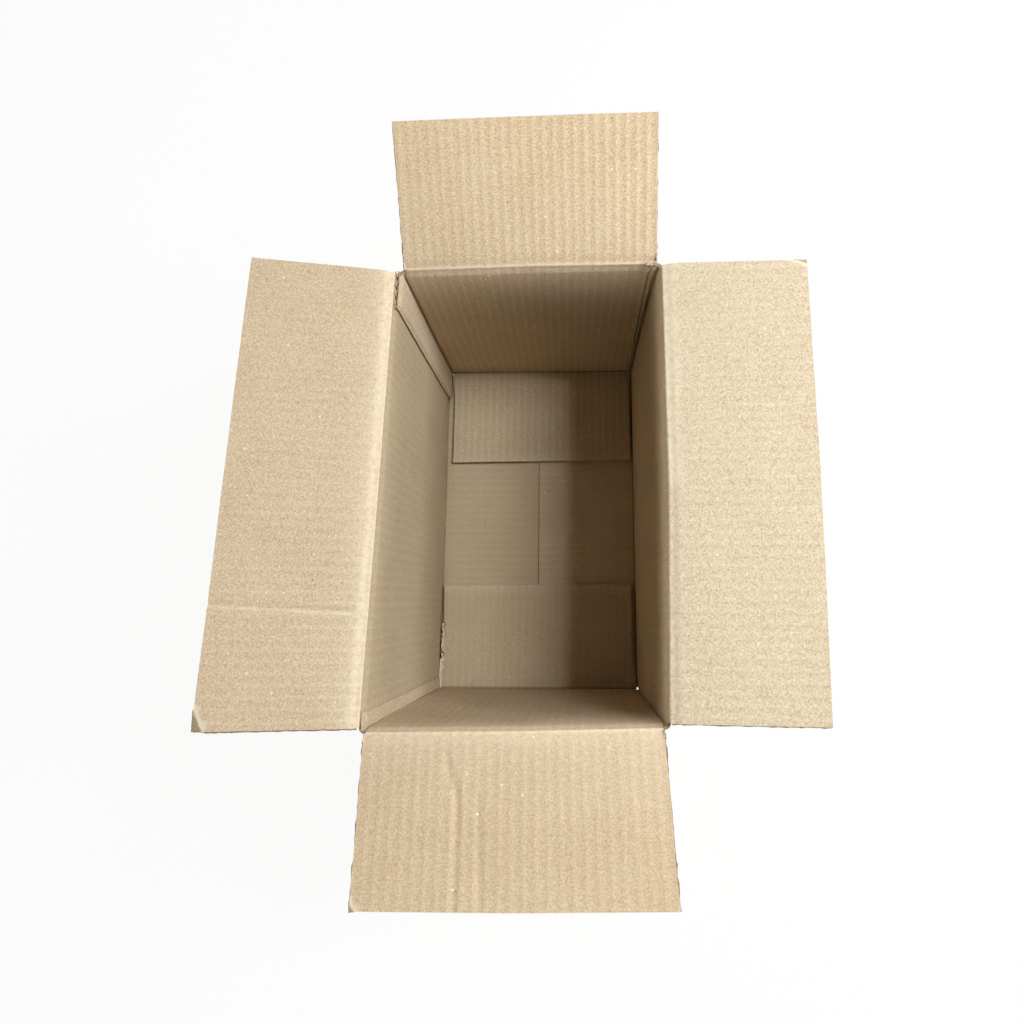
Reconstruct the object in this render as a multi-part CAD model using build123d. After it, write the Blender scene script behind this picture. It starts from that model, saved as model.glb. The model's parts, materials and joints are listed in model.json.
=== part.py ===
from build123d import *
import os
from math import cos, radians, sin, sqrt

# A plain slotted shipping box of single-wall corrugated board, standing open.
# X runs across the width, Y along the length and Z up. The origin is the middle of the
# underside, on the face that the box stands on. All sizes are in millimetres.

# The box
case_length = 290.0
case_width = 176.0
case_height = 190.0

# The board: two flat liners and a wavy medium between them
board = 3.0
liner = 0.35
medium = 0.3
flute_pitch = 6.5
flute_contact = 1.0
flute_crest = 0.8

# Folds, slots and joints of the sheet
bend_radius = 3.5
slot_width = 5.2
slot_overcut = 0.7
seam_gap = 0.6
layer_gap = 0.2
fold_clearance = 0.3
crushed_strip = 5.0
edge_pocket = 8.0

# The glued tab that closes the sheet into a tube
tab_width = 25.0
tab_side_clearance = 0.8
raw_edge_setback = 0.5

# The tape along the bottom seam
tape_width = 48.0
tape_thickness = 0.06
tape_rise = 50.0

# How far each top flap stands above level, in degrees
left_flap_angle = 15.0
right_flap_angle = 4.5
back_flap_angle = 25.5
front_flap_angle = 18.0

# Levels and lengths that follow from these
flap_depth = (case_width - seam_gap) / 2
side_low = tape_thickness
side_fold = side_low + case_height
end_low = side_low + board + layer_gap
end_fold = side_fold - board - layer_gap
post_low = side_low + bend_radius
post_top = end_fold - slot_overcut
corner_reach = max(bend_radius, (board + slot_width) / 2)
side_end = case_length / 2 - corner_reach
end_end = case_width / 2 - corner_reach
tab_outside = -case_width / 2 + board
back_start = tab_outside + max(bend_radius, board + tab_side_clearance)
inner_bend = bend_radius - board
mitre_setback = fold_clearance / sqrt(2)


def channel_section():
    """One air channel, seen from its end: wide on a liner, with the medium arched over it."""
    half_base = (flute_pitch - flute_contact) / 2
    half_crest = flute_crest / 2
    height = board - 2 * liner - medium
    arch = Polyline(
        (-half_base, 0), (-half_crest, height), (half_crest, height), (half_base, 0), close=True
    )
    return make_face(arch)


def flute_channels(edge_length, depth):
    """The channels behind a cut edge. The edge lies along X, the board's outer face is at Z = 0,
    and the channels run from the edge towards -Y."""
    arch = channel_section()
    half_count = int(edge_length / 2 / flute_pitch) + 1
    edge_plane = Plane(origin=(0, 0, 0), x_dir=(1, 0, 0), z_dir=(0, -1, 0))
    channels = []
    for i in range(-half_count, half_count + 1):
        low = Pos(i * flute_pitch, liner) * arch
        high = Pos((i + 0.5) * flute_pitch, board - liner) * Rot(0, 0, 180) * arch
        for section in (low, high):
            channels.append(extrude(edge_plane * section, amount=depth))
    return channels


def wall_outline(half_span, low, fold):
    """A bottom flap, the bend beside it and the wall above it, seen from the end of the wall.
    The first coordinate is the distance from the middle of the box, the second the height."""
    free = half_span - flap_depth
    bend = half_span - bend_radius
    inside = half_span - board
    rim = fold - mitre_setback
    centre = (bend, low + bend_radius)
    edges = [
        Line((free, low), (bend, low)),
        CenterArc(centre, bend_radius, -90, 90),
        Line((half_span, low + bend_radius), (half_span, rim)),
        Line((half_span, rim), (inside, rim - board)),
        Line((inside, rim - board), (inside, low + bend_radius)),
        CenterArc(centre, inner_bend, 0, -90),
        Line((bend, low + board), (free, low + board)),
        Line((free, low + board), (free, low)),
    ]
    return make_face(Curve() + edges)


def panel(half_span, low, fold, start, end):
    """The right-hand wall with its bottom flap, from start to end along -Y."""
    section = Plane.XZ.offset(start) * wall_outline(half_span, low, fold)
    return extrude(section, amount=end - start)


def block(low_x, low_y, high_x, high_y):
    """A rectangle seen from above, given by two corners."""
    return Pos(low_x, low_y) * Rectangle(high_x - low_x, high_y - low_y, align=Align.MIN)


def corner_posts():
    """The upright bends between the walls, seen from above and drawn up to the slots."""
    half_width = case_width / 2
    half_length = case_length / 2
    outer = RectangleRounded(case_width, case_length, bend_radius)
    inner = RectangleRounded(case_width - 2 * board, case_length - 2 * board, inner_bend)
    side_walls = block(-case_width, -side_end, case_width, side_end)
    front_wall = block(-end_end, -case_length, end_end, 0)
    back_wall = block(back_start, 0, end_end, case_length)
    glued = block(-half_width, side_end, back_start, half_length)
    posts = outer - inner - side_walls - front_wall - back_wall - glued
    return extrude(Pos(0, 0, post_low) * posts, amount=post_top - post_low)


def glued_corner():
    """The back left corner, where the back wall folds inside the left wall's raw edge."""
    back = case_length / 2
    centre = (tab_outside + bend_radius, back - bend_radius)
    bend = make_face(
        Curve()
        + [
            CenterArc(centre, bend_radius, 90, 90),
            Line((tab_outside, centre[1]), (tab_outside + board, centre[1])),
            CenterArc(centre, inner_bend, 180, -90),
            Line((centre[0], back - board), (centre[0], back)),
        ]
    )
    plan = bend + block(-case_width / 2, side_end, tab_outside, back - raw_edge_setback)
    if back_start > centre[0]:
        plan += block(centre[0], back - board, back_start, back)
    return extrude(Pos(0, 0, post_low) * plan, amount=post_top - post_low)


def glue_tab():
    """The tab on the inside of the left wall, with open flutes at its top end."""
    root = case_length / 2 - bend_radius
    tip = case_length / 2 - board - tab_width
    plan = block(tab_outside, tip, tab_outside + board, root)
    blank = extrude(Pos(0, 0, post_low) * plan, amount=post_top - post_low)
    top_edge = Plane(
        origin=(tab_outside, (root + tip) / 2, post_top), x_dir=(0, -1, 0), z_dir=(1, 0, 0)
    )
    return blank - [top_edge * channel for channel in flute_channels(root - tip, edge_pocket)]


def side_wall():
    """A long wall with its bottom flap, on the right of the box."""
    return panel(case_width / 2, side_low, side_fold, -side_end, side_end)


def end_wall(start):
    """A short wall, with open flutes at the free edge of its bottom flap. It is drawn at the
    right of the box and turned into place afterwards."""
    wall = panel(case_length / 2, end_low, end_fold, start, end_end)
    free_edge = Plane(
        origin=(case_length / 2 - flap_depth, -(start + end_end) / 2, end_low),
        x_dir=(0, 1, 0),
        z_dir=(0, 0, 1),
    )
    return wall - [free_edge * channel for channel in flute_channels(end_end - start, edge_pocket)]


def box_body():
    """The four walls, the tab and the closed bottom flaps, folded from one sheet."""
    posts = corner_posts() + glued_corner() + glue_tab()
    sides = side_wall() + Rot(0, 0, 180) * side_wall()
    ends = Rot(0, 0, 90) * end_wall(back_start) + Rot(0, 0, 270) * end_wall(-end_end)
    return posts + sides + ends


def top_flap(start, end, outward, angle, half_span, fold):
    """One top flap. Its outer face turns about the outer edge of the wall's fold."""
    length = end - start
    root = mitre_setback
    side = Polyline(
        (root, 0), (flap_depth, 0), (flap_depth, board), (root + board, board), close=True
    )
    section = make_face(side)
    flat = extrude(Plane.YZ * section, amount=length / 2, both=True)
    free_edge = Pos(0, flap_depth, 0)
    flat -= [free_edge * channel for channel in flute_channels(length, flap_depth - crushed_strip)]
    across = Vector(outward)
    up = Vector(0, 0, 1)
    normal = up * cos(radians(angle)) - across * sin(radians(angle))
    hinge = Plane(
        origin=across * half_span + up * fold, x_dir=across.cross(up), z_dir=normal
    )
    return hinge * Pos((start + end) / 2, 0, 0) * flat


def bottom_tape():
    """The strip that holds the bottom flaps shut and laps up both end walls."""
    half_length = case_length / 2
    turn_start = side_end
    radius = half_length - turn_start
    centre = (turn_start, radius + tape_thickness)
    rise = side_low + tape_rise
    outer = radius + tape_thickness
    half = make_face(
        Curve()
        + [
            Line((0, 0), (turn_start, 0)),
            CenterArc(centre, outer, -90, 90),
            Line((half_length + tape_thickness, centre[1]), (half_length + tape_thickness, rise)),
            Line((half_length + tape_thickness, rise), (half_length, rise)),
            Line((half_length, rise), (half_length, centre[1])),
            CenterArc(centre, radius, 0, -90),
            Line((turn_start, tape_thickness), (0, tape_thickness)),
            Line((0, tape_thickness), (0, 0)),
        ]
    )
    back_half = extrude(Plane.YZ * half, amount=tape_width / 2, both=True)
    return back_half + mirror(back_half, about=Plane.XZ)


def build():
    half_width = case_width / 2
    half_length = case_length / 2
    left = (-1, 0, 0)
    right = (1, 0, 0)
    back = (0, 1, 0)
    front = (0, -1, 0)
    return {
        "box_body": box_body(),
        "top_flap_left": top_flap(
            -side_end, side_end, left, left_flap_angle, half_width, side_fold
        ),
        "top_flap_right": top_flap(
            -side_end, side_end, right, right_flap_angle, half_width, side_fold
        ),
        "top_flap_back": top_flap(
            back_start, end_end, back, back_flap_angle, half_length, end_fold
        ),
        "top_flap_front": top_flap(
            -end_end, end_end, front, front_flap_angle, half_length, end_fold
        ),
        "bottom_tape": bottom_tape(),
    }


os.makedirs("parts", exist_ok=True)
for name, shape in build().items():
    export_step(shape, f"parts/{name}.step")
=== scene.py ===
import json
from collections import namedtuple
from math import ceil, cos, pi, radians, sin

import bmesh
import bpy
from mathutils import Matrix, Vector
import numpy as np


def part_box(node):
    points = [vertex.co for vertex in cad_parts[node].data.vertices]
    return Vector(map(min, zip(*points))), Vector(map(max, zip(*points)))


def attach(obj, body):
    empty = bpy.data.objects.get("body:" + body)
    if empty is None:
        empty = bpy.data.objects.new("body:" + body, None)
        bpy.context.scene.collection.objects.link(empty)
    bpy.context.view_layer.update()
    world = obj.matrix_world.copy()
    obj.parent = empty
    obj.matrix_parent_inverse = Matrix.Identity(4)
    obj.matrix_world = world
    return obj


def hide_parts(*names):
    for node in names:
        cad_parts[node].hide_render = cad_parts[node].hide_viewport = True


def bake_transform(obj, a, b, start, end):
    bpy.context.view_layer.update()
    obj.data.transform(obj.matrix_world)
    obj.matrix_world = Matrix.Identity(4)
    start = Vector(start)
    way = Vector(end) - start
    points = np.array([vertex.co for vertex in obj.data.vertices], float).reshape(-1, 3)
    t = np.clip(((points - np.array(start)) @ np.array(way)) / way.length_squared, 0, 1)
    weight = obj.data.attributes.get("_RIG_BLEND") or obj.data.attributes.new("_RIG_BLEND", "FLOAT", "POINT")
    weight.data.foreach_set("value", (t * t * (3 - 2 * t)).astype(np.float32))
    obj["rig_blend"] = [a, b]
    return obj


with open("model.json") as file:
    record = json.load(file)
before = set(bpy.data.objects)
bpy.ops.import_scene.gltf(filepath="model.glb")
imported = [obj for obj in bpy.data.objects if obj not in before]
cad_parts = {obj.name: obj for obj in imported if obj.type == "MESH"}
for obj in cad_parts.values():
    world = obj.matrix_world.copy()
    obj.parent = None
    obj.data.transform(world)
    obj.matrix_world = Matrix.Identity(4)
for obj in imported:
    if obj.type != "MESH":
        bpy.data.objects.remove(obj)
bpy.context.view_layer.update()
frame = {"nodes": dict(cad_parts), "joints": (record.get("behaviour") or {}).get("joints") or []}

# A plain slotted shipping box of single-wall corrugated board, standing open with its four
# top flaps spread. X runs across the width, Y along the length and Z up, all in metres.

mm = 0.001

# The board: two flat liners and a waved medium between them
board = 3.0 * mm
liner = 0.35 * mm
flute_pitch = 6.5 * mm
bend_radius = 3.5 * mm
outer_face = liner / 2
inner_face = board - liner / 2

# The top folds are scored: the board is pressed thin there, and thickens again over this
# distance, in rows of points
scored = 0.36
score_reach = 6 * mm
score_rows = [row * score_reach / 5 for row in range(5)]

# Places taken from the frame
joints = {joint["child"]: joint for joint in frame["joints"]}
body_low, body_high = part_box("box_body")
half_width = body_high.x
half_length = body_high.y
side_low = body_low.z
side_fold = joints["flap_left"]["pos_m"][2]
end_fold = joints["flap_back"]["pos_m"][2]
end_low = side_low + side_fold - end_fold
side_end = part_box("top_flap_left")[1].y
back_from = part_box("top_flap_back")[0].x
end_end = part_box("top_flap_back")[1].x

# The gaps and cuts of the sheet, and the places that follow from them
seam_gap = 0.6 * mm
slot_overcut = 0.7 * mm
tab_width = 25.0 * mm
tab_drop = 0.6 * mm
tab_overlap = 1 * mm
raw_edge_setback = 0.5 * mm
flap_depth = half_width - seam_gap / 2
bend_start = flap_depth - bend_radius
post_low = side_low + bend_radius
post_top = end_fold - slot_overcut
corner_foot = side_low + 0.8 * mm
tab_face = half_width - board
tab_start = half_length - bend_radius - tab_overlap
tab_tip = half_length - board - tab_width
tab_top = side_fold - tab_drop
raw_edge = half_length - raw_edge_setback

# How near a point has to be to a line, or to a row of points, to be picked with it
hair = 0.01 * mm
row_slack = 0.05 * mm

# What each point of the paper is marked with: its place across the flutes, how strongly they
# show there, how scuffed it is, which in places is painted light, how clearly its fibres show,
# and how much painted shade darkens it, inside the box, in creases, past cut ends and on
# folded corners, where 1 is a tenth darker and less than nothing is painted light
paper_marks = ("across", "ribs", "scuff", "grain", "inside")
# Painted shade in the crease at a wall's foot
painted_crease_shade = 5
# Painted shade on the lower paper that sticks out past a flap's cut end
painted_edge_shade = 7
no_ribs = (0, 0, 0, 0)

# The colours of the papers, and of the tape
kraft_brown = (0.605, 0.462, 0.306, 1)
# A paler copy of the brown, painted light for the most brightly lit flap
lit_flap_brown = (0.6, 0.475, 0.322, 1)
wall_brown = (0.59, 0.466, 0.326, 1)
deep_tone = (0.58, 0.405, 0.285)
pale_tone = (1.42, 1.595, 1.715)
fleck_brown = (0.2, 0.13, 0.08, 1)
fibre_cream = (0.9, 0.81, 0.65, 1)
# The pale buff of wear, also used for painted light and highlights
wear_and_light_buff = (0.83, 0.715, 0.53, 1)
# The tone that painted shade darkens the paper towards
painted_shade_tone = (0.9, 0.9, 0.88)
edge_dark = (0.34, 0.235, 0.145, 1)
edge_pale = (0.6, 0.45, 0.3, 1)
film_dark = (0.42, 0.25, 0.11, 1)
film_brown = (0.48, 0.3, 0.14, 1)
film_milky = (0.62, 0.45, 0.26, 1)


def clamp(value, low=0, high=1):
    return max(low, min(high, value))


def fill(tree, node, sockets):
    """Fills a node's inputs with values, or links them to the outputs of other nodes."""
    for name, value in sockets.items():
        if isinstance(value, bpy.types.NodeSocket):
            tree.links.new(value, node.inputs[name])
        else:
            node.inputs[name].default_value = value


def add(tree, kind, sockets=None, **settings):
    """Adds a node with its settings, and fills or links its inputs."""
    node = tree.nodes.new("ShaderNode" + kind)
    for name, value in settings.items():
        setattr(node, name, value)
    fill(tree, node, sockets or {})
    return node


def ramp(tree, value, low, high, start=0, end=1):
    """Eases a value from start to end while it goes from low to high."""
    sockets = {"Value": value, "From Min": low, "From Max": high, "To Min": start, "To Max": end}
    return add(tree, "MapRange", sockets, interpolation_type="SMOOTHSTEP").outputs[0]


def calc(tree, operation, *values):
    return add(tree, "Math", dict(enumerate(values)), operation=operation).outputs[0]


def sway(tree, value, amount, onto):
    """Adds to a shade how far a noise is from its middle, times an amount."""
    return calc(tree, "MULTIPLY_ADD", calc(tree, "SUBTRACT", value, 0.5), amount, onto)


def blend_color(tree, share, first, second):
    sockets = {0: share, 6: first, 7: second}
    return add(tree, "Mix", sockets, data_type="RGBA", clamp_factor=False).outputs[2]


def tinted(tree, color, tone):
    return add(tree, "VectorMath", {0: color, 1: tone}, operation="MULTIPLY").outputs[0]


def noise(tree, spot, scale, detail, roughness=0.5):
    sockets = {"Vector": spot, "Scale": scale, "Detail": detail, "Roughness": roughness}
    return add(tree, "TexNoise", sockets).outputs[0]


def specks(tree, spot, scale, size, channel, rarity):
    """Round specks, each in a cell of its own. Size is how far from its middle a speck starts
    to fade and ends. Rarity is the share of cells without a speck, and without a full one."""
    cells = add(tree, "TexVoronoi", {"Vector": spot, "Scale": scale, "Randomness": 1}).outputs
    chance = add(tree, "SeparateColor", {0: cells["Color"]}).outputs[channel]
    shape = ramp(tree, cells["Distance"], *size, 1, 0)
    return calc(tree, "MULTIPLY", shape, ramp(tree, chance, *rarity))


def bump(tree, height, strength, distance):
    sockets = {"Height": height, "Strength": strength, "Distance": distance}
    return add(tree, "Bump", sockets).outputs[0]


def new_material(name):
    """A material, its node tree and its shader."""
    material = bpy.data.materials.new(name)
    material.use_nodes = True
    return material, material.node_tree, material.node_tree.nodes["Principled BSDF"]


def new_group(name, inputs, outputs):
    """A node group with its sockets, and its input and output nodes."""
    tree = bpy.data.node_groups.new(name, "ShaderNodeTree")
    for label, kind in inputs:
        tree.interface.new_socket(label, in_out="INPUT", socket_type="NodeSocket" + kind)
    for label, kind in outputs:
        tree.interface.new_socket(label, in_out="OUTPUT", socket_type="NodeSocket" + kind)
    given = tree.nodes.new("NodeGroupInput").outputs
    result = tree.nodes.new("NodeGroupOutput").inputs
    return tree, given, result


def kraft_grain():
    """Fibres, clouds and flecks of brown paper, lighter along the crests of the flutes. It is made
    pale where the scuff mark is, which is wear and in places painted light and highlights, and
    darkened by painted shade where the Inside mark says, and lightened where that mark is negative."""
    marks = [(mark.title(), "Float") for mark in paper_marks]
    inputs = [("Place", "Vector"), *marks, ("Color", "Color")]
    outputs = [("Color", "Color"), ("Height", "Float")]
    tree, given, result = new_group("kraft_grain", inputs, outputs)
    spot = given["Place"]
    fine = noise(tree, spot, 1000, 2, 0.75)
    soft = noise(tree, spot, 400, 1)
    cloud = noise(tree, spot, 28, 2)
    shade = sway(tree, soft, 0.12, sway(tree, fine, 1.12, 0))
    shade = sway(tree, cloud, 0.16, calc(tree, "MULTIPLY", shade, given["Grain"]))
    wave = calc(tree, "COSINE", calc(tree, "MULTIPLY", given["Across"], 2 * pi / flute_pitch))
    rib = calc(tree, "MULTIPLY", ramp(tree, wave, -0.2, 1.0), given["Ribs"])
    shade = calc(tree, "MULTIPLY_ADD", rib, 0.1, shade)
    deepest = tinted(tree, given["Color"], deep_tone)
    palest = tinted(tree, given["Color"], pale_tone)
    color = blend_color(tree, calc(tree, "ADD", shade, 0.5), deepest, palest)
    fleck = specks(tree, spot, 125, (0.04, 0.1), 0, (0.85, 0.93))
    color = blend_color(tree, calc(tree, "MULTIPLY", fleck, 0.8), color, fleck_brown)
    fibre = specks(tree, spot, 210, (0.07, 0.2), 1, (0.9, 0.96))
    color = blend_color(tree, calc(tree, "MULTIPLY", fibre, 0.85), color, fibre_cream)
    # The scuff mark paints wear, and in places painted light and highlights
    rubbed = calc(tree, "MULTIPLY", given["Scuff"], ramp(tree, soft, 0.25, 0.6, 0.5, 0.8))
    color = blend_color(tree, rubbed, color, wear_and_light_buff)
    # Painted shade from the Inside mark, and painted light where that mark is negative
    color = blend_color(tree, given["Inside"], color, tinted(tree, color, painted_shade_tone))
    height = calc(tree, "MULTIPLY_ADD", rib, 0.5, calc(tree, "MULTIPLY_ADD", soft, 0.5, fine))
    tree.links.new(color, result["Color"])
    tree.links.new(height, result["Height"])
    return tree


grain_group = kraft_grain()


def kraft_board(name, stretch, brown):
    """Uncoated kraft paper, with its fibres stretched along the way they lie on the panel."""
    material, tree, shader = new_material(name)
    spot = add(tree, "TexCoord").outputs["Object"]
    sockets = {"Place": add(tree, "Mapping", {"Vector": spot, "Scale": stretch}).outputs[0]}
    for mark in paper_marks:
        sockets[mark.title()] = add(tree, "Attribute", attribute_name=mark).outputs["Fac"]
    sockets["Color"] = brown
    grain = add(tree, "Group", sockets, node_tree=grain_group).outputs
    surface = {
        "Base Color": grain["Color"],
        "Roughness": 0.88,
        "Specular IOR Level": 0.2,
        "Normal": bump(tree, grain["Height"], 0.22, 0.3 * mm),
    }
    fill(tree, shader, surface)
    return material


def raw_edge_paper():
    """The cut edge of the board: darker, dull and uneven."""
    material, tree, shader = new_material("raw_paper")
    spot = add(tree, "TexCoord").outputs["Object"]
    rough = noise(tree, spot, 700, 3)
    surface = {
        "Base Color": blend_color(tree, ramp(tree, rough, 0.3, 0.7), edge_dark, edge_pale),
        "Roughness": 0.95,
        "Specular IOR Level": 0.1,
        "Normal": bump(tree, rough, 0.5, 0.2 * mm),
    }
    fill(tree, shader, surface)
    return material


def packing_tape():
    """Smooth buff film with faint creases and trapped air."""
    material, tree, shader = new_material("packing_tape")
    spot = add(tree, "TexCoord").outputs["Object"]
    drawn = add(tree, "Mapping", {"Vector": spot, "Scale": (1, 0.12, 1)}).outputs[0]
    lines = noise(tree, drawn, 300, 2)
    air = noise(tree, spot, 35, 1)
    trapped = ramp(tree, air, 0.4, 0.85)
    film = blend_color(tree, ramp(tree, lines, 0.3, 0.7), film_dark, film_brown)
    milky = calc(tree, "MULTIPLY", trapped, 0.35)
    surface = {
        "Base Color": blend_color(tree, milky, film, film_milky),
        "Roughness": ramp(tree, air, 0.3, 0.7, 0.22, 0.34),
        "Normal": bump(tree, calc(tree, "ADD", lines, trapped), 0.2, 0.1 * mm),
    }
    fill(tree, shader, surface)
    return material


side_run_of_fibres = (1, 0.85, 1)
end_run_of_fibres = (0.85, 1, 1)
side_kraft = kraft_board("side_kraft", side_run_of_fibres, kraft_brown)
end_kraft = kraft_board("end_kraft", end_run_of_fibres, kraft_brown)
# The paler copy, painted light for the most brightly lit flap
faded_kraft = kraft_board("faded_kraft", side_run_of_fibres, lit_flap_brown)
side_wall_kraft = kraft_board("side_wall_kraft", side_run_of_fibres, wall_brown)
end_wall_kraft = kraft_board("end_wall_kraft", end_run_of_fibres, wall_brown)
raw_paper = raw_edge_paper()
tape_film = packing_tape()


def only(piece):
    """Makes a piece the one selected and active object."""
    bpy.ops.object.select_all(action="DESELECT")
    piece.select_set(True)
    bpy.context.view_layer.objects.active = piece


def edit(piece):
    only(piece)
    bpy.ops.object.mode_set(mode="EDIT")
    bpy.ops.mesh.select_mode(type="VERT")


def done():
    bpy.ops.object.mode_set(mode="OBJECT")


def pick(piece, test):
    """In edit mode, selects the vertices whose place passes a test."""
    bpy.ops.mesh.select_all(action="DESELECT")
    mesh = bmesh.from_edit_mesh(piece.data)
    for vertex in mesh.verts:
        vertex.select = test(vertex.co)
    mesh.select_flush(True)
    bmesh.update_edit_mesh(piece.data)


def run(x, y, z):
    """Extrudes what is selected by one step."""
    bpy.ops.mesh.extrude_region_move(TRANSFORM_OT_translate={"value": (x, y, z)})


def turn_picked(angle, axis, centre=(0, 0, 0)):
    """Turns what is selected by a right-handed angle. The operator itself turns the other way."""
    bpy.ops.transform.rotate(value=radians(-angle), orient_axis=axis, center_override=centre)


def ruffle(amount, seed):
    """Moves each selected point a little at random."""
    bpy.ops.transform.vertex_random(offset=amount, uniform=1, normal=0, seed=seed)


def apply(piece, kind, **settings):
    """Adds a modifier to a piece and applies it."""
    only(piece)
    bpy.ops.object.modifier_add(type=kind)
    modifier = piece.modifiers[-1]
    for name, value in settings.items():
        setattr(modifier, name, value)
    bpy.ops.object.modifier_apply(modifier=modifier.name)


def join(pieces, name):
    bpy.ops.object.select_all(action="DESELECT")
    for piece in pieces:
        piece.select_set(True)
    bpy.context.view_layer.objects.active = pieces[0]
    bpy.ops.object.join()
    pieces[0].name = name
    pieces[0].data.name = name
    return pieces[0]


def place(piece, shift, turn):
    """Moves a finished shape to its place, turns it about Z and applies both to its mesh."""
    only(piece)
    piece.location = shift
    bpy.ops.object.transform_apply(location=True, rotation=True, scale=True)
    piece.rotation_euler = (0, 0, radians(turn))
    bpy.ops.object.transform_apply(location=True, rotation=True, scale=True)


def paper_grid(columns, rows, size, place_at, turned=(0, 0, 0)):
    """A flat rectangle of paper, divided into columns and rows."""
    bpy.ops.object.select_all(action="DESELECT")
    bpy.ops.mesh.primitive_grid_add(x_subdivisions=columns, y_subdivisions=rows, size=1)
    piece = bpy.context.object
    piece.scale = size
    piece.rotation_euler = turned
    piece.location = place_at
    bpy.ops.object.transform_apply(location=True, rotation=True, scale=True)
    return piece


def strip(runs, low, rise, columns):
    """One flute of a layer, as a strip from X = 0 along X in the given runs. Its wave goes
    across Y and lifts it from low, at its sides, by rise, in its middle."""
    first = runs[0]
    piece = paper_grid(1, columns, (first, flute_pitch, 1), (first / 2, 0, low))
    edit(piece)
    for column in range(1, columns):
        across = (column / columns - 0.5) * flute_pitch
        lift = rise * (1 - cos(2 * pi * column / columns)) / 2
        pick(piece, lambda at: abs(at.y - across) < hair)
        bpy.ops.transform.translate(value=(0, 0, lift))
    pick(piece, lambda at: at.x > first * 0.99)
    for step in runs[1:]:
        run(step, 0, 0)
    return piece


def repeat_flutes(piece, start, end):
    """Repeats a strip side by side along Y and cuts the row to length."""
    reach = ceil(max(abs(start), abs(end)) / flute_pitch + 0.5)
    bpy.ops.mesh.select_all(action="SELECT")
    bpy.ops.transform.translate(value=(0, -reach * flute_pitch, 0))
    done()
    apply(
        piece,
        "ARRAY",
        use_relative_offset=False,
        use_constant_offset=True,
        constant_offset_displace=(0, flute_pitch, 0),
        count=2 * reach + 1,
        use_merge_vertices=True,
        merge_threshold=0.002 * mm,
    )
    edit(piece)
    for cut, way in ((start, -1), (end, 1)):
        bpy.ops.mesh.select_all(action="SELECT")
        bpy.ops.mesh.bisect(plane_co=(0, cut, 0), plane_no=(0, way, 0), clear_outer=True)
    done()


def fray(piece, start, end, amount, seed):
    """Makes the cut edges at the two ends of a row a little ragged."""
    near = 0.02 * mm
    edit(piece)
    pick(piece, lambda at: at.y < start + near or at.y > end - near)
    ruffle(amount, seed)
    done()


def layers(ridge):
    """Height, wave, columns, fray and seed of the outer liner, the medium and the inner liner."""
    crest = board - 3 * liner
    return (
        (outer_face, ridge, 6, 0.2 * mm, 3),
        (liner * 1.5, crest, 10, 0.5 * mm, 5),
        (inner_face - ridge, ridge, 6, 0.2 * mm, 8),
    )


def steps(start, end, count):
    return [(end - start) / count] * count


def score_share(away):
    """How much of the board's thickness is left at a distance from a top fold's score."""
    return scored + (1 - scored) * (1 - cos(pi * min(1, away / score_reach))) / 2


def pinch(away):
    """How far the inner liner is pressed towards the outer one at that distance."""
    return (1 - score_share(away)) * (inner_face - outer_face)


def off_line(at, start, end):
    """How far a place is from the line between two others."""
    start, along = Vector(start), Vector(end) - Vector(start)
    share = clamp((at - start).dot(along) / along.length_squared)
    return (at - start - along * share).length


def mark_paper(piece, ribs, wear=(), rubbed=0, grain=1, inside=None):
    """Marks each point of the paper. Ribs holds four strengths: at the start and end of the
    fold, then at the start and end of the free edge. Wear lists pale lines, most of them worn and
    some of them painted light and highlights: the start, the end, how far from it the mark is
    full, how far it fades out, and its strength. Rubbed is how scuffed the rest is. Inside tells
    from a point's place how much painted shade darkens it."""
    marks = piece.data.attributes
    for name in paper_marks:
        marks.new(name, "FLOAT", "POINT")
    across, shown, worn, fibres, depth = (marks[name] for name in paper_marks)
    points = [vertex.co for vertex in piece.data.vertices]
    first, last = min(at.y for at in points), max(at.y for at in points)
    fibres.data.foreach_set("value", [grain] * len(points))
    depth.data.foreach_set("value", [inside(at) if inside else 0 for at in points])
    for at, place_mark, rib_mark, worn_mark in zip(points, across.data, shown.data, worn.data):
        place_mark.value = at.y
        along = (at.y - first) / (last - first)
        at_fold = ribs[0] + (ribs[1] - ribs[0]) * along
        at_edge = ribs[2] + (ribs[3] - ribs[2]) * along
        rib_mark.value = at_fold + (at_edge - at_fold) * clamp(at.x / flap_depth)
        scuffed = rubbed
        for start, end, full, none, strength in wear:
            share = (none - off_line(at, start, end)) / (none - full)
            scuffed += strength * clamp(share) ** 3
        worn_mark.value = scuffed


def thicken(piece, paper):
    """Gives each layer its paper's thickness. The cut rims get the raw paper's colour."""
    piece.data.materials.append(paper)
    piece.data.materials.append(raw_paper)
    apply(piece, "SOLIDIFY", thickness=liner, offset=0, material_offset_rim=1)
    only(piece)
    bpy.ops.object.shade_smooth_by_angle(angle=radians(35))
    return piece


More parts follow.
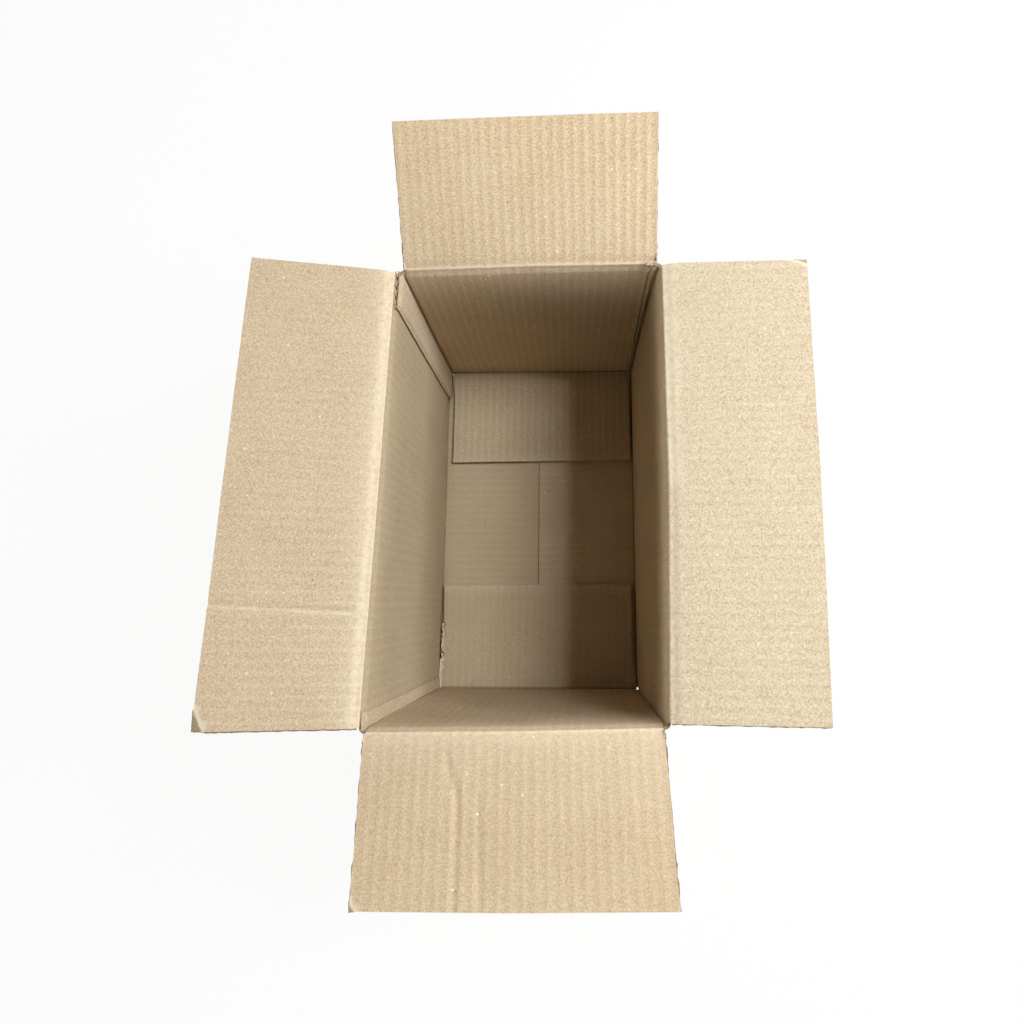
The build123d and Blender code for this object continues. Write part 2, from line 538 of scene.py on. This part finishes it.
def wall_liner(height, rise, columns, low, fold, start, end):
    """One liner of a wall: along its bottom flap, round the bend and up to the top fold. The
    inner one is pressed outwards at the score, and down into the crease at its foot."""
    narrow = 1 * mm
    centre = (bend_start, 0, low + bend_radius)
    flat = [narrow] + steps(narrow, bend_start - narrow, 10) + [narrow]
    piece = strip(flat, low + height, rise, columns)
    bpy.ops.mesh.spin(steps=5, angle=radians(90), center=centre, axis=(0, 1, 0))
    up = [narrow] + steps(low + bend_radius + narrow, fold - score_reach, 11)
    for step in up + steps(0, score_reach, len(score_rows)):
        run(0, 0, step)
    if height > board / 2:
        for away in score_rows:
            pick(piece, lambda at: abs(at.z - fold + away) < row_slack)
            bpy.ops.transform.translate(value=(pinch(away), 0, 0))
        beside = 0.3 * mm
        pressed = 0.5 * mm
        pick(piece, lambda at: at.x > centre[0] - beside and at.z < centre[2] + beside)
        bpy.ops.transform.translate(value=(pressed, 0, -pressed))
    repeat_flutes(piece, start, end)
    fray(piece, start, end, 0.25 * mm, 2)
    return piece


def lay_crooked(piece, low, skew, longer, lift):
    """Turns a bottom flap out of square by skew, raises it by lift, both in degrees, and makes
    it longer. The board beside its bend stays as it is."""
    held = bend_start - 12 * mm
    narrower = 0.973
    edit(piece)
    pick(piece, lambda at: at.x < held and at.z < low + 1.5 * board)
    turn_picked(skew, "Z", (bend_start, 0, low))
    turn_picked(lift, "Y", (held, 0, low))
    bpy.ops.transform.translate(value=(-longer, 0, 0))
    bpy.ops.transform.resize(value=(1, narrower, 1), center_override=(0, 0, 0))
    done()


def wall(
    name, half_span, low, fold, start, end, turn, paper, wear, painted_shade,
    skew=0, longer=0, lift=0, ribs=0.4, grain=0.6,
):
    """A wall with its bottom flap. It is shaped as the right-hand wall and then turned. Wear is
    how worn its top fold is. The dim amounts are the painted shade inside it, at its start, at
    its end and on the flap, and painted light where they are negative. The crease at its foot
    gets deep painted shade. Skew, longer and lift say how the flap lies crooked, and a crooked
    flap gets a painted highlight along its free edge. Ribs and grain say how strongly its flutes
    and its fibres show. The medium is made where it can be seen, behind the flap's free edge."""
    faces = ((outer_face, 0.04 * mm, 2), (inner_face - 0.05 * mm, 0.05 * mm, 4))
    parts = [wall_liner(*face, low, fold, start, end) for face in faces]
    height, rise, columns, ragged, seed = layers(0)[1]
    medium = strip(steps(0, 16 * mm, 4), low + height, rise, columns)
    repeat_flutes(medium, start, end)
    fray(medium, start, end, ragged, seed)
    piece = join([*parts, medium], name)
    if skew:
        lay_crooked(piece, low, skew, longer, lift)
    inner = flap_depth - board
    floor_top = low + board
    rim = inner + (1 - scored) * board
    rim_top = fold + 0.5 * mm
    lines = (
        ((rim, start, rim_top), (rim, end, rim_top), 0.6 * mm, 3 * mm, wear),
        # A painted highlight along a crooked bottom flap's free edge
        ((0, start, floor_top), (0, end, floor_top), 0.4 * mm, 8 * mm, 0.6 if skew else 0),
    )

    # Painted shade: none outside, deep in the crease at the foot, the flap's amount on the bottom flap, and
    # on the upright part a shade running from its start's amount to its end's
    def inside(at):
        outside = at.x > inner + 2.2 * mm or at.z < low + 0.8 * mm
        at_foot = at.x > inner - 0.9 * mm and at.z < floor_top + 0.9 * mm
        on_flap = at.z < low + 7 * mm
        if outside:
            return 0
        if at_foot:
            return painted_crease_shade
        if on_flap:
            return painted_shade[2]
        return painted_shade[0] + (painted_shade[1] - painted_shade[0]) * (at.y - start) / (end - start)

    mark_paper(piece, (ribs,) * 4, lines, grain=grain, inside=inside)
    place(piece, (half_span - flap_depth, 0, 0), turn)
    return thicken(piece, paper)


def upright_panel(name, face, start, end, turn, top, paper, pressed=()):
    """A plain panel of board with its flutes upright, such as the glued tab. It is shaped flat,
    stood up with its outer face at X = face, and turned. Pressed holds how far from its end
    the board is squeezed, step by step. Where the top reaches a fold's score, it follows it."""
    parts = []
    tall = top - post_low
    runs = steps(0, tall - score_reach, 12) + steps(0, score_reach, len(score_rows))
    for height, rise, columns, ragged, seed in layers(0.04 * mm):
        piece = strip(runs, height, rise, columns)
        repeat_flutes(piece, start, end)
        fray(piece, start, end, ragged / 2, seed)
        parts.append(piece)
    piece = join(parts, name)
    # Painted shade darkens the whole panel a little
    mark_paper(piece, (0.35,) * 4, grain=0.7, inside=lambda at: 0.7)
    edit(piece)
    for reach in pressed:
        pick(piece, lambda at: at.y > end - reach)
        bpy.ops.transform.resize(value=(1, 1, 0.65), center_override=(0, 0, 0))
    for away in score_rows:
        pick(piece, lambda at: abs(at.x - tall + away) < row_slack)
        bpy.ops.transform.translate(value=(0, 0, -pinch(side_fold - top + away)))
    bpy.ops.mesh.select_all(action="SELECT")
    turn_picked(-90, "Y")
    done()
    place(piece, (face, 0, post_low), turn)
    return thicken(piece, paper)


def corner(name, width, length, start_y, end_x, turn, paper, foot=corner_foot):
    """The upright bend between two walls, shaped as the back right one and then turned. Its
    layers lie close together, because the board is crushed where it bends."""
    parts = []
    rim = 0.3 * mm
    bend_x = width - bend_radius
    bend_y = length - bend_radius
    first = bend_y - start_y
    crushed_layers = (outer_face, 0.8 * mm, 1.2 * mm, inner_face - 1.1 * mm)
    for height in crushed_layers:
        middle = (width - height, start_y + first / 2, (foot + post_top) / 2)
        upright = (radians(90), 0, radians(90))
        piece = paper_grid(1, 24, (first, post_top - foot, 1), middle, upright)
        edit(piece)
        pick(piece, lambda at: at.y > start_y + first * 0.9)
        centre = (bend_x, bend_y, 0)
        bpy.ops.mesh.spin(steps=6, angle=radians(-90), center=centre, axis=(0, 0, 1))
        run(end_x - bend_x, 0, 0)
        done()
        parts.append(piece)
    piece = join(parts, name)

    # Painted shade on the corner's inner side
    def inside(at):
        return at.x < width - rim and at.y < length - rim

    mark_paper(piece, no_ribs, grain=0.5, inside=inside)
    place(piece, (0, 0, 0), turn)
    return thicken(piece, paper)


def outline(points):
    """In edit mode, draws a line through the points, from one vertex by extruding it."""
    bpy.ops.mesh.select_all(action="DESELECT")
    bpy.ops.mesh.primitive_plane_add(size=1 * mm, location=(0, 0, 0))
    bpy.ops.mesh.merge(type="CENTER")
    bpy.ops.transform.translate(value=points[0])
    for before, after in zip(points, points[1:]):
        run(*(Vector(after) - Vector(before)))


def crushed_fold(name, low_line, high_line, above, top, painted_shade, paper):
    """The crushed board beside an upright fold, drawn across at its foot and near its top, and
    run on to its top. Its lines are in millimetres. It is darkened by painted shade, by the dim
    amount."""
    high = post_top + above
    bpy.ops.object.select_all(action="DESELECT")
    bpy.ops.mesh.primitive_plane_add(size=1 * mm)
    piece = bpy.context.object
    edit(piece)
    bpy.ops.mesh.delete(type="VERT")
    outline([(x * mm, y * mm, side_low + 1 * mm) for x, y in low_line])
    outline([(x * mm, y * mm, high) for x, y in high_line])
    bpy.ops.mesh.select_all(action="SELECT")
    bpy.ops.mesh.bridge_edge_loops(number_cuts=40)
    pick(piece, lambda at: at.z > high - hair)
    run(*top)
    bpy.ops.mesh.select_all(action="SELECT")
    bpy.ops.mesh.normals_make_consistent(inside=False)
    ruffle(0.18 * mm, 4)
    done()
    piece.name = name
    mark_paper(piece, no_ribs, inside=lambda at: painted_shade)
    return thicken(piece, paper)


def torn_paper(name, place_at, size, ragged, seed, paper):
    """A ragged scrap where the board is torn, on the floor or at a corner's top."""
    piece = paper_grid(5, 26, size, place_at)
    piece.name = name
    edit(piece)
    bpy.ops.mesh.select_all(action="SELECT")
    ruffle(ragged, seed)
    done()
    mark_paper(piece, no_ribs, rubbed=0.9)
    return thicken(piece, paper)


def walls():
    """The four walls. The bottom flaps of the short ones lie on those of the long ones, a
    little crooked."""
    side_run = (side_low, side_fold, -side_end, side_end)
    back_run = (end_low, end_fold, -end_end, -back_from)
    front_run = (end_low, end_fold, -end_end, end_end)
    sides, ends = side_wall_kraft, end_wall_kraft
    return [
        # The dim amounts are painted shade inside each wall; the back wall's negative end is painted light
        wall("right_wall", half_width, *side_run, 0, sides, wear=0, painted_shade=(1.2, 1.2, 0)),
        wall("left_wall", half_width, *side_run, 180, sides, wear=0.1, painted_shade=(2.2, 2.2, 1)),
        wall(
            "back_wall", half_length, *back_run, 90, ends, wear=0.3, painted_shade=(1.8, -1.4, 1),
            skew=0.5, longer=1.3 * mm, lift=1.5, ribs=0.85, grain=0.85,
        ),
        wall(
            "front_wall", half_length, *front_run, 270, ends, wear=0.2, painted_shade=(0, 0.8, 1),
            skew=0.7, longer=2.5 * mm, lift=0.8,
        ),
    ]


def corners():
    """The glued tab with its fold, the raw end that it is glued to, and the other corners."""
    paper = side_wall_kraft
    tab_press = (1.6 * mm, 0.8 * mm)
    across_run = (half_width, half_length, side_end, end_end)
    along_run = (half_length, half_width, end_end, side_end)
    return [
        upright_panel(
            "glued_tab", tab_face, -tab_start, -tab_tip, 180, tab_top, paper, tab_press
        ),
        upright_panel("raw_end", half_width, -raw_edge, -side_end, 180, post_top, paper),
        corner("tab_fold", half_length, tab_face, -back_from, tab_start, 90, paper),
        corner("back_right_corner", *across_run, 0, paper),
        corner("front_left_corner", *across_run, 180, paper),
        corner("front_right_corner", *along_run, 270, paper, post_low),
    ]


def crushed_folds():
    """The two upright folds that have been crushed, as the photograph shows them."""
    return [
        crushed_fold(
            "front_left_crush",
            low_line=(
                (-84.3, -133.8), (-84.0, -134.8), (-83.7, -138.0), (-83.2, -141.2), (-84.4, -142.2)
            ),
            high_line=(
                (-84.9, -133.0), (-84.6, -134.2), (-84.5, -138.0), (-84.3, -141.1), (-85.0, -142.6)
            ),
            above=-1 * mm,
            top=(-1.3 * mm, 0, 4.2 * mm),
            painted_shade=1,
            paper=side_wall_kraft,
        ),
        # Painted shade on the back right crush, where the right wall's shadow falls
        crushed_fold(
            "back_right_crush",
            low_line=(
                (81.8, 141.7), (82.4, 140.8), (83.0, 141.4), (83.6, 140.8), (84.2, 141.4), (84.4, 141.9)
            ),
            high_line=(
                (76.6, 141.6), (78.4, 139.6), (80.0, 141.0), (81.6, 139.0), (83.0, 140.6), (84.2, 141.2)
            ),
            above=0.5 * mm,
            top=(0.1 * mm, 0.6 * mm, 1.6 * mm),
            painted_shade=3.5,
            paper=end_wall_kraft,
        ),
    ]


def scraps():
    """The torn and rolled bits of paper: name, place, width and length, raggedness and seed,
    in millimetres."""
    floor_top = (end_low + board) / mm
    slot_height = side_low / mm + 1.2
    torn = (
        ("torn_flap", (-82.2, -108, floor_top + 1), (1.9, 40), 1.1, 3),
        ("folded_edge", (-83.4, -130, floor_top + 1.6), (2.2, 24), 0.3, 4),
        ("slot_side", (82.6, -139.9, slot_height), (4, 4), 0.5, 5),
        ("torn_corner", (80.5, 142.4, side_fold / mm + 0.2), (6, 1.6), 0.9, 7),
        ("slot_end", (82.6, 141.0, slot_height), (5, 5), 0.9, 9),
    )
    return [
        torn_paper(
            name, Vector(at) * mm, (width * mm, length * mm, 1), ragged * mm, seed, side_wall_kraft
        )
        for name, at, (width, length), ragged, seed in torn
    ]


def crush_line(piece, points, lift, reach):
    """In edit mode, presses a line into a flat flap, or raises it, as handling does. Its points
    are in millimetres."""
    for start, end in zip(points, points[1:]):
        start, end = Vector(start) * mm, Vector(end) * mm
        pick(piece, lambda at: off_line(at.xy, start, end) < 0.8 * mm)
        bpy.ops.transform.translate(
            value=(0, 0, lift),
            use_proportional_edit=True,
            proportional_size=reach,
            proportional_edit_falloff="SMOOTH",
        )


# A folded corner: its place along the flap, the way it points, in degrees from square out, how
# far back from its tip it is folded, by how many degrees, how many times its length it is
# stretched, and how much painted shade darkens it
Ear = namedtuple("Ear", "tip_y turn back angle longer dark")


def dog_ear(piece, ear):
    """In edit mode, folds a flap's corner down, along three lines close together. The mesh is
    turned meanwhile, so that the corner points along X from the origin."""
    bpy.ops.mesh.select_all(action="SELECT")
    bpy.ops.transform.translate(value=(-flap_depth, -ear.tip_y, 0))
    turn_picked(-ear.turn, "Z")
    folds = ((ear.back, 0.4), (ear.back - 0.6 * mm, 0.35), (ear.back - 1.2 * mm, 0.25))
    for back, _ in folds:
        bpy.ops.mesh.select_all(action="SELECT")
        bpy.ops.mesh.bisect(plane_co=(-back, 0, 0), plane_no=(1, 0, 0))
    last = folds[-1][0]
    pick(piece, lambda at: at.x > hair - last)
    bpy.ops.transform.resize(value=(ear.longer, 1, 1), center_override=(-last, 0, 0))
    for back, share in folds:
        pick(piece, lambda at: at.x > hair - back)
        turn_picked(ear.angle * share, "Y", (-back, 0, board / 2))
    bpy.ops.mesh.select_all(action="SELECT")
    turn_picked(ear.turn, "Z")
    bpy.ops.transform.translate(value=(flap_depth, ear.tip_y, 0))


def rest_angle(side):
    """How far a flap stands above level, in degrees."""
    return 180 - joints["flap_" + side]["range_deg"][1]


waves = bpy.data.textures.new("waves", "CLOUDS")
waves.noise_scale = 0.05
waves.noise_depth = 1


def flap_board(name, start, end, slant, ridge):
    """The three layers of a flap, lying flat from its fold along X. Slant is how far the lower
    paper sticks out where the flap's ends are cut."""
    parts = []
    runs = steps(0, score_reach, len(score_rows)) + steps(score_reach, flap_depth, 20)
    for (height, rise, columns, ragged, seed), over in zip(layers(ridge), (1, 0.6, 0)):
        piece = strip(runs, height, rise, columns)
        cut_start, cut_end = start - over * slant[0], end + over * slant[1]
        repeat_flutes(piece, cut_start, cut_end)
        fray(piece, cut_start, cut_end, ragged, seed)
        parts.append(piece)
    return join(parts, name)


def make_uneven(piece):
    """Gives a flat flap slow waves, from nothing at its fold."""
    loose = piece.vertex_groups.new(name="loose")
    for vertex in piece.data.vertices:
        share = clamp((vertex.co.x - 3 * mm) / (15 * mm))
        loose.add([vertex.index], share, "REPLACE")
    settings = {"texture": waves, "direction": "Z", "strength": 1.1 * mm, "mid_level": 0.5}
    apply(piece, "DISPLACE", vertex_group="loose", **settings)


def press_score(piece):
    """In edit mode, presses a flat flap thin along its fold."""
    for away in score_rows:
        pick(piece, lambda at: abs(at.x - away) < row_slack)
        pressed = (1, 1, score_share(away))
        bpy.ops.transform.resize(value=pressed, center_override=(0, 0, outer_face))


def roll_root(piece, angle):
    """In edit mode, spins a flap's root back round its fold to the top of the wall, and
    wrinkles the inside of the roll."""
    pick(piece, lambda at: abs(at.x) < hair)
    bpy.ops.mesh.spin(steps=7, angle=radians(90 - angle), center=(0, 0, 0), axis=(0, 1, 0))
    rolled = scored * inner_face + 0.4 * mm
    pick(piece, lambda at: at.x < -0.1 * mm and 0.8 * mm < at.xz.length < rolled)
    ruffle(0.07 * mm, 6)


def top_flap(
    side, turn, start, end, slant, ridge, ribs, wear, paper,
    rubbed=0, grain=1, shade=0, ear=None, shape=None,
):
    """A top flap. It is shaped flat, as the right-hand flap, then raised to its angle and put
    in its place. Shade is how much painted shade darkens it towards its free edge. Ear is its
    folded corner, darkened with painted shade, and shape makes its own dents. The lower paper
    that sticks out past its cut ends gets deep painted shade."""
    angle = rest_angle(side)
    piece = flap_board(side + "_top_flap", start, end, slant, ridge)
    make_uneven(piece)
    edit(piece)
    press_score(piece)
    if shape:
        shape(piece)
    if ear:
        dog_ear(piece, ear)
    roll_root(piece, angle)
    done()
    lines = list(wear)
    # A painted highlight along the folded corner's crease, carried in the scuff mark
    if ear:
        tip = Vector((flap_depth, ear.tip_y, board))
        way = Vector((cos(radians(ear.turn)), sin(radians(ear.turn)), 0))
        beside = way.cross(Vector((0, 0, 20 * mm)))
        middle = tip - way * (ear.back - 0.3 * mm)
        lines.append((middle - beside, middle + beside, 0.7 * mm, 2.2 * mm, 1.3))

    # Painted shade: deep on the folded corner and on the lower paper past the cut ends, and growing towards
    # the free edge elsewhere
    def inside(at):
        on_ear = ear and (at - tip).xy.dot(way.xy) > 1.3 * mm - ear.back
        past_cut = at.y < start - 0.25 * mm or at.y > end + 0.25 * mm
        if on_ear:
            return ear.dark
        if past_cut:
            return painted_edge_shade
        return shade * at.x / flap_depth

    mark_paper(piece, ribs, lines, rubbed, grain, inside)
    edit(piece)
    bpy.ops.mesh.select_all(action="SELECT")
    turn_picked(-angle, "Y")
    done()
    fold = Vector(joints["flap_" + side]["pos_m"])
    place(piece, (fold.xy.length, 0, fold.z), turn)
    return thicken(piece, paper)


def shape_left(piece):
    """A flute crushed right across the flap."""
    crush_line(piece, ((7, 74.8), (88, 71.8)), -0.8 * mm, 2.3 * mm)


def shape_front(piece):
    """Two lines where the flap has buckled."""
    crush_line(piece, ((12, -37), (34, -30), (88, -29.6)), -0.7 * mm, 2.8 * mm)
    crush_line(piece, ((33, -18.7), (88, -16)), -0.5 * mm, 2.8 * mm)


def fold_line(x, z, full, none, strength, start=-half_length):
    """A worn line along a fold, in a flat flap's own axes."""
    return ((x, start, z), (x, half_length, z), full, none, strength)


# How far each corner of the open top, and the middle of each side, leans out of square, in
# millimetres. The keys are the place: -1, 0 or 1 across the width, then along the length.
top_lean = {
    (-1, 1): (2.0, -0.3),
    (0, 1): (2.2, 1.6),
    (1, 1): (2.5, 1.7),
    (1, -1): (-0.8, 1.2),
    (0, -1): (-3.2, -1.7),
    (-1, -1): (-5.6, -3.2),
    (-1, 0): (-1.4, -2.15),
    (1, 0): (2.8, 1.15),
}

# How far the outer corners and the outer middle of each flap are bent from square, in
# millimetres. In the keys, 2 or -2 is the side that the flap is on.
flap_bend = {
    (-2, 1): (0.4, -0.1, -3.4),
    (-2, 0): (1.4, 0.4, 0.0),
    (-2, -1): (1.6, 1.3, 0.0),
    (2, 1): (1.2, -2.5, -1.7),
    (2, 0): (-0.9, 0.1, 0.0),
    (2, -1): (-0.8, -0.1, -1.1),
    (-1, 2): (-0.5, -1.3, 1.2),
    (0, 2): (-1.0, -1.6, 0.7),
    (1, 2): (-1.5, -0.8, 0.2),
    (0, -2): (2.9, 1.3, 0.0),
    (-1, -2): (5.9, 1.9, 0.0),
    (1, -2): (1.6, 1.8, 2.5),
}


def handling_cage():
    """A cage that leans the open top out of square and bends the flaps, as handling does. The
    flaps end short of its outer points, which are moved further for that reason."""
    bpy.ops.object.select_all(action="DESELECT")
    bpy.ops.object.add(type="LATTICE")
    cage = bpy.context.object
    cage.data.points_u = 5
    cage.data.points_v = 5
    cage.data.points_w = 2
    for way in ("u", "v", "w"):
        setattr(cage.data, f"interpolation_type_{way}", "KEY_LINEAR")
    low = 60 * mm
    size = Vector((4 * half_width, 4 * half_length, side_fold - low))
    cage.scale = size
    cage.location = (0, 0, (side_fold + low) / 2)
    side_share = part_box("top_flap_right")[1].x / half_width - 1
    end_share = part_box("top_flap_back")[1].y / half_length - 1
    for point in cage.data.points:
        if point.co.z < 0:
            continue
        u, v = round(point.co.x * 4), round(point.co.y * 4)
        lean = top_lean.get((clamp(u, -1, 1), clamp(v, -1, 1)), (0, 0))
        move = Vector((*lean, 0))
        if (u, v) in flap_bend:
            move += Vector(flap_bend[(u, v)]) / (side_share if abs(u) == 2 else end_share)
        point.co_deform = point.co_deform + Vector(a * mm / b for a, b in zip(move, size))
    return cage


body = join([*walls(), *corners(), *crushed_folds(), *scraps()], "carton_body")

side_ends = (-side_end, side_end)
back_ends = (-end_end, -back_from)
front_ends = (-end_end, end_end)
fold_face = scored * board
right_face = 0.6 * board
left_wear_and_light = (
    # The left fold is worn at its crease, and the same line fading far out over the flap is painted light on
    # its root
    fold_line(-0.3 * mm, fold_face, 2.5 * mm, 34 * mm, 0.65),
    ((8 * mm, 76.5 * mm, board), (88 * mm, 73.5 * mm, board), 0.6 * mm, 2 * mm, 0.8),
)
right_wear = (
    fold_line(2 * mm, right_face, 3 * mm, 8 * mm, 0.3),
    fold_line(2 * mm, right_face, 3 * mm, 8 * mm, 0.5, start=0),
)
back_wear = (fold_line(-0.6 * mm, fold_face, 1 * mm, 3 * mm, 0.8),)
front_wear_and_light = (
    fold_line(-0.6 * mm, fold_face, 1 * mm, 3 * mm, 0.6),
    # A broad painted light over the front flap's root
    fold_line(0, fold_face, 4 * mm, 60 * mm, 0.35),
)
flaps = {
    "left": top_flap(
        "left", 180, *side_ends, slant=(0, 1.0 * mm), ridge=0.08 * mm, ribs=(0.1, 1, 0.1, 0.5),
        wear=left_wear_and_light, paper=side_kraft, rubbed=0.14, grain=1.2, shade=0.2,
        ear=Ear(side_end, 26.6, 5.6 * mm, 38, 1.5, 4), shape=shape_left,
    ),
    # The right flap's paler paper is painted light, for the strongest light that falls on it
    "right": top_flap(
        "right", 0, *side_ends, slant=(0.7 * mm, 0.4 * mm), ridge=0.13 * mm,
        ribs=(0.6, 0.1, 1, 0.7), wear=right_wear, paper=faded_kraft, rubbed=0.42, grain=1.75,
        shade=0.4, ear=Ear(side_end, 65, 3.8 * mm, 24, 1.5, 4),
    ),
    "back": top_flap(
        "back", 90, *back_ends, slant=(0.2 * mm, 0.9 * mm), ridge=0.22 * mm,
        ribs=(1.1, 0.4, 1.3, 0.5), wear=back_wear, paper=end_kraft, grain=1.1, shade=0.5,
    ),
    "front": top_flap(
        "front", 270, *front_ends, slant=(0.6 * mm, 0.7 * mm), ridge=0.17 * mm,
        ribs=(0.5, 0.5, 0.6, 0.6), wear=front_wear_and_light, paper=end_kraft, grain=0.85, shade=0.7,
        ear=Ear(-end_end, -50, 3 * mm, 30, 1.4, 3.5), shape=shape_front,
    ),
}
cage = handling_cage()
for piece in (body, *flaps.values()):
    apply(piece, "LATTICE", object=cage)
bpy.data.objects.remove(cage)

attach(body, "box")
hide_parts("box_body")
for side, piece in flaps.items():
    fold = Vector(joints["flap_" + side]["pos_m"])
    outward = Vector((fold.x, fold.y, 0)).normalized()
    start = fold - 1.5 * mm * outward - Vector((0, 0, 2 * mm))
    end = fold + 0.5 * mm * outward + Vector((0, 0, 3 * mm))
    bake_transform(piece, "box", "flap_" + side, start, end)
    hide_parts("top_flap_" + side)
tape = frame["nodes"]["bottom_tape"]
tape.data.materials.clear()
tape.data.materials.append(tape_film)


def floor_paint():
    """Pale paint that the camera sees nearly white, and that keeps the box's shadow."""
    material, tree, shader = new_material("floor")
    glow_share = 0.93
    fill(tree, shader, {"Base Color": (0.9, 0.9, 0.9, 1), "Roughness": 1})
    glow = add(tree, "Emission")
    seen = add(tree, "LightPath").outputs["Is Camera Ray"]
    share = calc(tree, "MULTIPLY", seen, glow_share)
    mix = add(tree, "MixShader", {0: share, 1: shader.outputs[0], 2: glow.outputs[0]})
    tree.links.new(mix.outputs[0], tree.nodes["Material Output"].inputs["Surface"])
    return material


def area_light(name, place_at, size, power, color):
    """A lamp that points at the open top."""
    target = Vector((0.03, 0, 0.19))
    bpy.ops.object.light_add(type="AREA", location=place_at)
    lamp = bpy.context.object
    lamp.name = name
    lamp.data.shape = "RECTANGLE"
    lamp.data.size, lamp.data.size_y = size
    lamp.data.energy = power
    lamp.data.color = color
    lamp.rotation_euler = (target - Vector(place_at)).to_track_quat("-Z", "Y").to_euler()


def room_world():
    """The light of a plain room: it comes from low down all round, less from the window's
    side, and the camera sees it white."""
    horizon_light = 5.6
    zenith_light = 0.02
    window_side = 0.25
    warm_white = (1, 0.96, 0.9, 1)
    white = (1, 1, 1, 1)
    world = bpy.data.worlds.new("room")
    world.use_nodes = True
    tree = world.node_tree
    where = add(tree, "TexCoord").outputs["Generated"]
    way = add(tree, "SeparateXYZ", {0: where}).outputs
    by_height = ramp(tree, way["Z"], 0.14, 0.28, horizon_light, zenith_light)
    by_side = ramp(tree, way["X"], 0.0, 0.8, 1, window_side)
    lit = calc(tree, "MULTIPLY", by_height, by_side)
    seen = add(tree, "LightPath").outputs["Is Camera Ray"]
    strength = add(tree, "Mix", {0: seen, 2: lit, 3: 1}, data_type="FLOAT").outputs[0]
    tint = blend_color(tree, seen, warm_white, white)
    fill(tree, tree.nodes["Background"], {"Strength": strength, "Color": tint})
    return world


# The floor, the light and the camera
bpy.ops.object.select_all(action="DESELECT")
bpy.ops.mesh.primitive_plane_add(size=8)
floor = bpy.context.object
floor.name = "floor"
floor.data.materials.append(floor_paint())

area_light("high_window", (0.67, 0.225, 1.24), (0.45, 0.38), 10.3, (0.94, 0.98, 1.0))
area_light("low_window", (1.11, 0.16, 0.97), (0.4, 0.4), 10.4, (0.98, 0.99, 0.99))
area_light("ceiling_lamp", (0.89, 0.25, 2.58), (0.15, 0.15), 8.2, (1.0, 0.99, 0.97))
bpy.context.scene.world = room_world()

# The lens, and the middle of the picture in pixels, were fitted to the box's own corners
image_side = 1024
lens_pixels = 641.6
middle_x = 550.8
middle_y = 491.5
bpy.ops.object.camera_add(location=(0.0336, -0.0773, 0.5739))
camera = bpy.context.object
camera.rotation_mode = "ZYX"
camera.rotation_euler = (radians(10.55), radians(2.27), radians(-0.22))
camera.data.sensor_width = 36
camera.data.lens = lens_pixels * camera.data.sensor_width / image_side
camera.data.shift_x = (image_side / 2 - middle_x) / image_side
camera.data.shift_y = (middle_y - image_side / 2) / image_side
bpy.context.scene.camera = camera
bpy.context.scene.view_settings.view_transform = "Standard"
